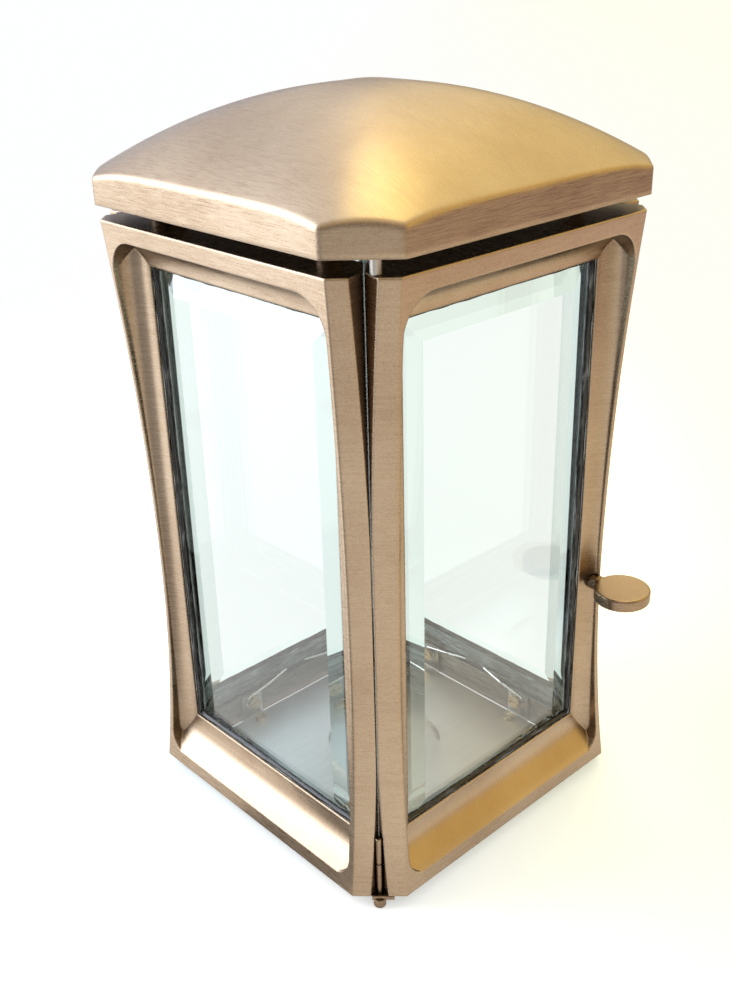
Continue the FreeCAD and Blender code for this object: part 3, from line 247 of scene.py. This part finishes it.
def soft_light(name, place, aim, width, height, power, colour):
    """A wide lamp that shines from one place towards another and isn't mirrored itself."""
    bpy.ops.object.select_all(action="DESELECT")
    bpy.ops.object.light_add(type="AREA", location=place)
    lamp = bpy.context.object
    lamp.name = name
    lamp.data.shape = "RECTANGLE"
    lamp.data.size = width
    lamp.data.size_y = height
    lamp.data.energy = power
    lamp.data.color = colour
    lamp.visible_glossy = False
    lamp.rotation_euler = (Vector(aim) - Vector(place)).to_track_quat("-Z", "Y").to_euler()


soft_light("window_back_left", place=(-0.75, 0.85, 0.65), aim=(0, 0, 0.05), width=0.8, height=0.9, power=9,
           colour=(0.95, 0.98, 1.0))
soft_light("lamp_overhead", place=(0.42, 0.30, 1.15), aim=(0, 0, 0.1), width=0.5, height=0.5, power=3,
           colour=(1.0, 0.90, 0.68))


# The frames, the roof and the small outer pieces are cast bronze, ground, brushed, darkened and lacquered.
# Brush lines run level round rims and posts, across the sloping sills, and one way over the dome.
# Hollows and undersides are darker with painted shade, undersides also greyer, and the edges are rubbed a
# little brighter.
BRONZE_TONES = [(0.12, (0.060, 0.045, 0.034)), (0.34, (0.225, 0.155, 0.104)), (0.48, (0.335, 0.250, 0.172)),
                (0.60, (0.410, 0.325, 0.238)), (0.80, (0.500, 0.410, 0.310))]
# The darker, greyer tones paint shade on undersides and give the inner faces their colour as cast.
SHADE_AND_CAST_TONES = [(0.12, (0.075, 0.064, 0.056)), (0.34, (0.120, 0.105, 0.090)), (0.80, (0.210, 0.190, 0.165))]
MIDDLE_TONE = 0.38
LINE_FINE, LINE_LONG, LINE_SHARE = 3400.0, 150.0, 0.30
STREAK_FINE, STREAK_LONG, STREAK_SHARE = 1500.0, 70.0, 0.10
GRAIN_SCALE, GRAIN_SHARE = 1900.0, 0.26
CLOUD_SCALE, CLOUD_SHARE = 24.0, 0.26
BRUSHED_MIDDLE = (LINE_SHARE + STREAK_SHARE + GRAIN_SHARE) / 2
SLOPE = (0.12, 0.38)
WALL_CONTRAST, SLOPE_CONTRAST = 1.15, 0.30
HOLLOW_REACH, HOLLOW_OPENNESS, PAINTED_SHADE_IN_HOLLOWS = 0.009, (0.15, 0.80), -0.36
EDGE_AGREEMENT, EDGE_TONE = (0.80, 0.985), 0.10
UNDERSIDE_SHADE = (-0.9, -0.4)
FRAME_INSIDE, INSIDE_BLUR = 0.0506, 0.0006
LINE_RANGE, BRUSHED_ROUGHNESS = (0.25, 0.75), (0.23, 0.37)
BRUSHED_DEPTH, GRAIN_HEIGHT = 0.00012, 0.4


def drawn_noise(tree, spot, scales, **settings):
    """Noise that is finer along some axes than along others, so that it lies in lines."""
    mapped = node(tree, "ShaderNodeMapping", Scale=scales)
    tree.links.new(spot, mapped.inputs["Vector"])
    return joined(tree, "ShaderNodeTexNoise", mapped.outputs[0], Scale=1.0, **settings)


# The place of a mix's first input and of its output, for each kind of mix.
MIX_PLACES = {"FLOAT": (2, 0), "VECTOR": (4, 1), "RGBA": (6, 2)}


def mixed(tree, kind, share, first, second):
    """A mix of two numbers, vectors or colours by a share that varies over the piece."""
    made = node(tree, "ShaderNodeMix", data_type=kind)
    start, result = MIX_PLACES[kind]
    for place, source in ((0, share), (start, first), (start + 1, second)):
        tree.links.new(source, made.inputs[place])
    return made.outputs[result]


def brush_lines(tree, spot, slope, rails, fine, long, detail):
    """Lines that run level on upright faces and cross the rails on slopes."""
    noises = []
    for crossed in ("z", rails):
        scales = tuple(fine if axis == crossed else long for axis in "xyz")
        noises.append(drawn_noise(tree, spot, scales, Detail=detail, Roughness=0.62))
    return mixed(tree, "FLOAT", slope, *noises)


def reach(tree, spot):
    """How far a place is from the upright axis, measured square like the lantern."""
    parts = node(tree, "ShaderNodeSeparateXYZ")
    tree.links.new(spot, parts.inputs[0])
    return reckoned(tree, "MAXIMUM", *[reckoned(tree, "ABSOLUTE", parts.outputs[axis]) for axis in "XY"])


def emboss(tree, shader, height, strength, depth, edge=None):
    """Lead a height into the shader's normal as a low relief, over softened edges where they are given."""
    relief = node(tree, "ShaderNodeBump", Strength=strength, Distance=depth)
    tree.links.new(height, relief.inputs["Height"])
    if edge is not None:
        tree.links.new(edge, relief.inputs["Normal"])
    tree.links.new(relief.outputs[0], shader.inputs["Normal"])


def brushed_bronze(name, rails, rounding, age=0.0, frame_inside=True):
    """Brushed bronze for pieces whose rails run along x or y.

    The edges are softened and rubbed bright over the rounding, age darkens the whole, hollows and undersides
    get painted shade, and where frame_inside is set the faces that look into the lantern keep the colour of
    the bronze as cast.
    """
    material, tree, shader = plain_material(name)
    places = node(tree, "ShaderNodeTexCoord").outputs
    spot = places["Object"]
    normal = node(tree, "ShaderNodeSeparateXYZ")
    tree.links.new(places["Normal"], normal.inputs[0])
    upward = normal.outputs["Z"]
    slope = fade(tree, upward, *SLOPE)

    lines = brush_lines(tree, spot, slope, rails, LINE_FINE, LINE_LONG, 3.0)
    streaks = brush_lines(tree, spot, slope, rails, STREAK_FINE, STREAK_LONG, 2.0)
    clouds = joined(tree, "ShaderNodeTexNoise", spot, Scale=CLOUD_SCALE, Detail=4.0, Roughness=0.6)
    grain = joined(tree, "ShaderNodeTexNoise", spot, Scale=GRAIN_SCALE, Detail=2.0, Roughness=0.7)
    tone = reckoned(tree, "MULTIPLY_ADD", lines, LINE_SHARE, -BRUSHED_MIDDLE)
    tone = reckoned(tree, "MULTIPLY_ADD", streaks, STREAK_SHARE, tone)
    tone = reckoned(tree, "MULTIPLY_ADD", grain, GRAIN_SHARE, tone)
    contrast = fade(tree, upward, *SLOPE, WALL_CONTRAST, SLOPE_CONTRAST)
    tone = reckoned(tree, "MULTIPLY_ADD", tone, contrast, MIDDLE_TONE - age)
    tone = reckoned(tree, "MULTIPLY_ADD", clouds, CLOUD_SHARE, tone)
    # Painted shade: the tone darkens in hollows, where the surroundings close in.
    hollow = node(tree, "ShaderNodeAmbientOcclusion", samples=6, Distance=HOLLOW_REACH).outputs["AO"]
    tone = reckoned(tree, "ADD", tone, fade(tree, hollow, *HOLLOW_OPENNESS, PAINTED_SHADE_IN_HOLLOWS, 0.0))
    edge = node(tree, "ShaderNodeBevel", samples=6, Radius=rounding).outputs[0]
    agreement = along(tree, edge, node(tree, "ShaderNodeNewGeometry").outputs["Normal"])
    tone = reckoned(tree, "ADD", tone, fade(tree, agreement, *EDGE_AGREEMENT, EDGE_TONE, 0.0))

    # Painted shade: faces turned downwards take the darker, greyer tones that the inner faces have as cast.
    shade_below_and_raw_inside = fade(tree, upward, *UNDERSIDE_SHADE, 1.0, 0.0)
    if frame_inside:
        inner = fade(tree, reach(tree, spot), FRAME_INSIDE, FRAME_INSIDE + INSIDE_BLUR, 1.0, 0.0)
        shade_below_and_raw_inside = reckoned(tree, "MAXIMUM", shade_below_and_raw_inside, inner)
    colour = mixed(tree, "RGBA", shade_below_and_raw_inside, ramp(tree, tone, BRONZE_TONES), ramp(tree, tone, SHADE_AND_CAST_TONES))
    tree.links.new(colour, shader.inputs["Base Color"])
    tree.links.new(fade(tree, lines, *LINE_RANGE, *BRUSHED_ROUGHNESS), shader.inputs["Roughness"])
    height = reckoned(tree, "MULTIPLY_ADD", grain, GRAIN_HEIGHT, lines)
    emboss(tree, shader, height, strength=0.12, depth=BRUSHED_DEPTH, edge=edge)

    around = node(tree, "ShaderNodeTangent", direction_type="RADIAL", axis="Z").outputs[0]
    across_rails = (0.0, 1.0, 0.0) if rails == "x" else (1.0, 0.0, 0.0)
    crossing = joined(tree, "ShaderNodeVectorTransform", across_rails, vector_type="VECTOR",
                      convert_from="OBJECT", convert_to="WORLD")
    tree.links.new(mixed(tree, "VECTOR", slope, around, crossing), shader.inputs["Tangent"])
    shader.inputs["Metallic"].default_value = 1.0
    shader.inputs["Anisotropic"].default_value = 0.55
    shader.inputs["Anisotropic Rotation"].default_value = 0.25
    shader.inputs["Specular Tint"].default_value = (0.62, 0.60, 0.58, 1)
    shader.inputs["Coat Weight"].default_value = 0.3
    shader.inputs["Coat Roughness"].default_value = 0.25
    return material


bronze_x = brushed_bronze("bronze_rails_x", "x", rounding=0.0010)
bronze_y = brushed_bronze("bronze_rails_y", "y", rounding=0.0010)
bronze_roof = brushed_bronze("bronze_roof", "x", rounding=0.0024, frame_inside=False)
bronze_small = brushed_bronze("bronze_fittings", "x", rounding=0.0008, age=0.12, frame_inside=False)
for name in ("door_frame", "frame_back"):
    dress(nodes[name], bronze_x)
for name in ("frame_left", "frame_right"):
    dress(nodes[name], bronze_y)
dress(nodes["roof"], bronze_roof)
for name in ("corner_feet", "upper_corner_pins", "hinge_foot", "hinge_plate", "roof_spacers", "latch_knob"):
    dress(nodes[name], bronze_small)


# The panes are clear 5 mm glass with a polished bevel all round, lying in the rebates of their frames.
# The glass itself is faintly blue-green, which shows in its depth; the deeper blue-green of its bevels is
# painted light.
SIDES = ("door", "right", "back", "left")
GLASS_AND_PAINTED_BEVEL_TINTS = [(0.0, (0.80, 0.92, 0.88)), (1.0, (0.975, 0.995, 1.0))]
BEVEL_TO_FACE = (0.975, 0.995)
DEPTH_COLOUR = (0.66, 0.93, 0.93, 1)
glass, tree, shader = plain_material("bevelled_glass")
places = node(tree, "ShaderNodeTexCoord").outputs
facing = reach(tree, places["Normal"])
# Painted light: bevel faces take a deeper blue-green than the flat faces.
tree.links.new(ramp(tree, fade(tree, facing, *BEVEL_TO_FACE), GLASS_AND_PAINTED_BEVEL_TINTS), shader.inputs["Base Color"])
shader.inputs["Roughness"].default_value = 0.0
shader.inputs["IOR"].default_value = 1.5
shader.inputs["Transmission Weight"].default_value = 1.0
depth = node(tree, "ShaderNodeVolumeAbsorption", Density=14.0)
depth.inputs["Color"].default_value = DEPTH_COLOUR
tree.links.new(depth.outputs[0], tree.nodes["Material Output"].inputs["Volume"])
waves = joined(tree, "ShaderNodeTexNoise", places["Object"], Scale=30.0, Detail=1.0)
emboss(tree, shader, waves, strength=0.05, depth=0.0004)
for side in SIDES:
    dress(nodes["pane_" + side], glass)


# A clear silicone beds each pane behind the lip of its frame; its strips are painted pale with painted light,
# and darker low down with painted shade.
# A little of it has oozed out as an uneven dark bead in the corner between the lip and the glass, pressed flat
# and shiny in places, with painted glints.
# The clear bedding's pale tones are painted light and its dark tone painted shade; the bead's pale tones are
# painted glints.
CLEAR_LIGHT_AND_SHADE_TONES = [(0.05, (0.04, 0.04, 0.04)), (0.35, (0.90, 0.91, 0.90)), (0.65, (0.97, 0.98, 0.98))]
DARK_BEAD_AND_GLINT_TONES = [(0.44, (0.008, 0.008, 0.009)), (0.56, (0.030, 0.029, 0.028)), (0.66, (0.16, 0.16, 0.16)),
               (0.76, (0.50, 0.52, 0.52))]
LEVEL_SMEARS, UPRIGHT_SMEARS = (70.0, 70.0, 600.0), (600.0, 600.0, 70.0)
SMEAR_RANGE, SILICONE_ROUGHNESS = (0.35, 0.65), (0.12, 0.38)
LEDGE_HEIGHTS = (0.019, 0.032)
SIGHT_HALF = 0.0443
SIGHT_LOW, SIGHT_HIGH = 0.0248, 0.2022
CORNER_RUN = 0.003
BEAD_RADIUS = 0.0014
BEAD_DEPTH = 0.0559
BEAD_FACETS = 8
BEAD_CUTS = (26, 50)
UNEVENNESS = 0.00045
FIRST_SEED = 3


def silicone(name, tones, low_glints_and_shade):
    """Silicone smeared along its bead, from dark to pale by its tones; low down, a gain above nothing adds
    painted glints and one below nothing painted shade.
    """
    material, tree, shader = plain_material(name)
    spot = own_place(tree)
    parts = node(tree, "ShaderNodeSeparateXYZ")
    tree.links.new(spot, parts.inputs[0])
    height = parts.outputs["Z"]
    over_sill = fade(tree, height, SIGHT_LOW, SIGHT_LOW + CORNER_RUN)
    under_head = fade(tree, height, SIGHT_HIGH - CORNER_RUN, SIGHT_HIGH, 1.0, 0.0)
    upright = reckoned(tree, "MULTIPLY", over_sill, under_head)
    runs = [drawn_noise(tree, spot, scales, Detail=3.0, Roughness=0.65, Distortion=0.4)
            for scales in (LEVEL_SMEARS, UPRIGHT_SMEARS)]
    smears = mixed(tree, "FLOAT", upright, *runs)
    # Low down the tone shifts: painted shade at the foot of the strips, more painted glints on the bead.
    tone = reckoned(tree, "ADD", smears, fade(tree, height, *LEDGE_HEIGHTS, low_glints_and_shade, 0.0))
    tree.links.new(ramp(tree, tone, tones), shader.inputs["Base Color"])
    tree.links.new(fade(tree, smears, *SMEAR_RANGE, *SILICONE_ROUGHNESS), shader.inputs["Roughness"])
    crumbs = joined(tree, "ShaderNodeTexNoise", spot, Scale=700.0, Detail=2.0)
    emboss(tree, shader, crumbs, strength=0.4, depth=0.0003)
    shader.inputs["IOR"].default_value = 1.45
    return material


# The strips: pale with painted light, with painted shade low down; the bead: dark with painted glints.
bedding = silicone("clear_bedding", CLEAR_LIGHT_AND_SHADE_TONES, low_glints_and_shade=-0.35)
dark_bead = silicone("dark_bead_with_glints", DARK_BEAD_AND_GLINT_TONES, low_glints_and_shade=0.06)
for side in SIDES:
    dress(nodes["glazing_strip_" + side], bedding)


def bead(name, start, end, cuts, seed):
    """One side of a bead: a rod between two places, cut into rings, made uneven and smoothed."""
    run = end - start
    bpy.ops.object.select_all(action="DESELECT")
    bpy.ops.mesh.primitive_cylinder_add(
        vertices=BEAD_FACETS, radius=BEAD_RADIUS, depth=run.length, end_fill_type="TRIFAN",
        location=(start + end) / 2, rotation=run.to_track_quat("Z", "Y").to_euler())
    piece = bpy.context.object
    piece.name = name
    bpy.ops.object.transform_apply(location=True, rotation=True, scale=True)
    bpy.ops.object.mode_set(mode="EDIT")
    bpy.ops.mesh.select_mode(type="EDGE")
    bpy.ops.mesh.select_all(action="DESELECT")
    bpy.ops.object.mode_set(mode="OBJECT")
    for edge in piece.data.edges:
        ends = [piece.data.vertices[corner].co for corner in edge.vertices]
        edge.select = abs((ends[0] - ends[1]).dot(run)) > run.length_squared / 2
    bpy.ops.object.mode_set(mode="EDIT")
    bpy.ops.mesh.subdivide(number_cuts=cuts)
    bpy.ops.mesh.select_mode(type="VERT")
    bpy.ops.mesh.select_all(action="SELECT")
    bpy.ops.transform.vertex_random(offset=UNEVENNESS, seed=seed)
    bpy.ops.object.mode_set(mode="OBJECT")
    smooth = piece.modifiers.new("smooth", "SUBSURF")
    smooth.levels = 1
    smooth.render_levels = 1
    bpy.ops.object.modifier_apply(modifier=smooth.name)
    bpy.ops.object.shade_smooth()
    return piece


CORNERS = [Vector((half, -BEAD_DEPTH, height)) for half, height in (
    (-SIGHT_HALF, SIGHT_LOW), (SIGHT_HALF, SIGHT_LOW), (SIGHT_HALF, SIGHT_HIGH), (-SIGHT_HALF, SIGHT_HIGH))]
rods = []
for number, corner in enumerate(CORNERS):
    following = CORNERS[(number + 1) % len(CORNERS)]
    rods.append(bead("bead_side_%d" % number, corner, following, BEAD_CUTS[number % 2], FIRST_SEED + number))
bpy.ops.object.select_all(action="DESELECT")
for piece in rods:
    piece.select_set(True)
bpy.context.view_layer.objects.active = rods[0]
bpy.ops.object.join()
ring = bpy.context.object
ring.name = "bedding_bead_door"
dress(ring, dark_bead)
rings = {"door": ring}
for quarter, side in enumerate(SIDES[1:], start=1):
    bpy.ops.object.select_all(action="DESELECT")
    ring.select_set(True)
    bpy.context.view_layer.objects.active = ring
    bpy.ops.object.duplicate()
    copy = bpy.context.object
    copy.name = "bedding_bead_" + side
    copy.rotation_euler = (0, 0, quarter * math.pi / 2)
    bpy.ops.object.transform_apply(location=True, rotation=True, scale=True)
    rings[side] = copy
for side, piece in rings.items():
    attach(piece, "door" if side == "door" else "base")


# The clips are bent from bright drawn steel wire; brackets, hinge pins, stud and cam are duller steel.
# Both show fine marks of drawing or rolling and a few dull spots.
NOISE_RANGE = (0.3, 0.7)
SCRATCH_SCALES, SCRATCH_SHARE = (900.0, 900.0, 160.0), 0.4
DARK_AT, LIGHT_AT = 0.45, 0.95
MACHINED_EDGE = 0.0002


def worked_metal(name, dark, light, roughness, spread):
    """A plain worked metal; its tone and roughness change in clouds of the scale spread and in scratches."""
    material, tree, shader = plain_material(name)
    spot = own_place(tree)
    clouds = joined(tree, "ShaderNodeTexNoise", spot, Scale=spread, Detail=4.0, Roughness=0.6)
    scratches = drawn_noise(tree, spot, SCRATCH_SCALES, Detail=2.0)
    tone = reckoned(tree, "MULTIPLY_ADD", scratches, SCRATCH_SHARE, clouds)
    tree.links.new(ramp(tree, tone, [(DARK_AT, dark), (LIGHT_AT, light)]), shader.inputs["Base Color"])
    tree.links.new(fade(tree, clouds, *NOISE_RANGE, *roughness), shader.inputs["Roughness"])
    edge = node(tree, "ShaderNodeBevel", samples=4, Radius=MACHINED_EDGE).outputs[0]
    emboss(tree, shader, scratches, strength=0.15, depth=0.0001, edge=edge)
    shader.inputs["Metallic"].default_value = 1.0
    return material


wire = worked_metal("drawn_wire", dark=(0.55, 0.55, 0.54), light=(0.80, 0.80, 0.79), roughness=(0.16, 0.30),
                    spread=350.0)
steel = worked_metal("plain_steel", dark=(0.36, 0.34, 0.31), light=(0.60, 0.58, 0.55), roughness=(0.28, 0.42),
                     spread=120.0)
for side in SIDES:
    dress(nodes["glass_clips_" + side], wire)
for name in ("hinge_pin_lower", "hinge_stud_upper", "hinge_pin_upper", "floor_brackets", "latch_cam"):
    dress(nodes[name], steel)


# The screws are turned from brass rod and slotted, and a little tarnished.
# They hold the clips, the floor's brackets, the roof and the cam of the latch.
brass = worked_metal("screw_brass", dark=(0.40, 0.29, 0.15), light=(0.66, 0.53, 0.32), roughness=(0.24, 0.40),
                     spread=300.0)
for side in SIDES:
    dress(nodes["clip_screws_" + side], brass)
for name in ("floor_screws", "roof_screws", "latch_screw"):
    dress(nodes[name], brass)


# The floor plate is a satin metal sheet with a pressed well, rolled one way and slightly clouded by use.
# Its own colour is painted with reflections, cool and bluish away from the door and warmer towards it.
TINTS_WITH_PAINTED_REFLECTION = [(0.0, (0.78, 0.87, 0.95)), (1.0, (0.62, 0.51, 0.38))]
PAINTED_REFLECTION_SPREAD = (-0.05, 0.05)
SHEET_TONES = [(0.45, (0.80, 0.80, 0.80)), (0.85, (1.0, 1.0, 1.0))]
ROLLED_SCALES, ROLLED_SHARE = (30.0, 900.0, 900.0), 0.3
SATIN_ROUGHNESS = (0.38, 0.52)
floor, tree, shader = plain_material("satin_sheet")
spot = own_place(tree)
marks = drawn_noise(tree, spot, ROLLED_SCALES, Detail=3.0)
haze = joined(tree, "ShaderNodeTexNoise", spot, Scale=35.0, Detail=3.0, Roughness=0.55)
tone = reckoned(tree, "MULTIPLY_ADD", marks, ROLLED_SHARE, haze)
# Painted reflection: the sheet is bluish away from the door and warm towards it.
sheet_tint_with_reflection = ramp(tree, fade(tree, along(tree, spot, TOWARDS_DOOR_SIDE), *PAINTED_REFLECTION_SPREAD), TINTS_WITH_PAINTED_REFLECTION)
colour = joined(tree, "ShaderNodeVectorMath", sheet_tint_with_reflection, ramp(tree, tone, SHEET_TONES), operation="MULTIPLY")
tree.links.new(colour, shader.inputs["Base Color"])
tree.links.new(fade(tree, haze, *NOISE_RANGE, *SATIN_ROUGHNESS), shader.inputs["Roughness"])
emboss(tree, shader, marks, strength=0.12, depth=0.0002)
shader.inputs["Metallic"].default_value = 1.0
dress(nodes["floor_plate"], floor)


bpy.context.view_layer.update()
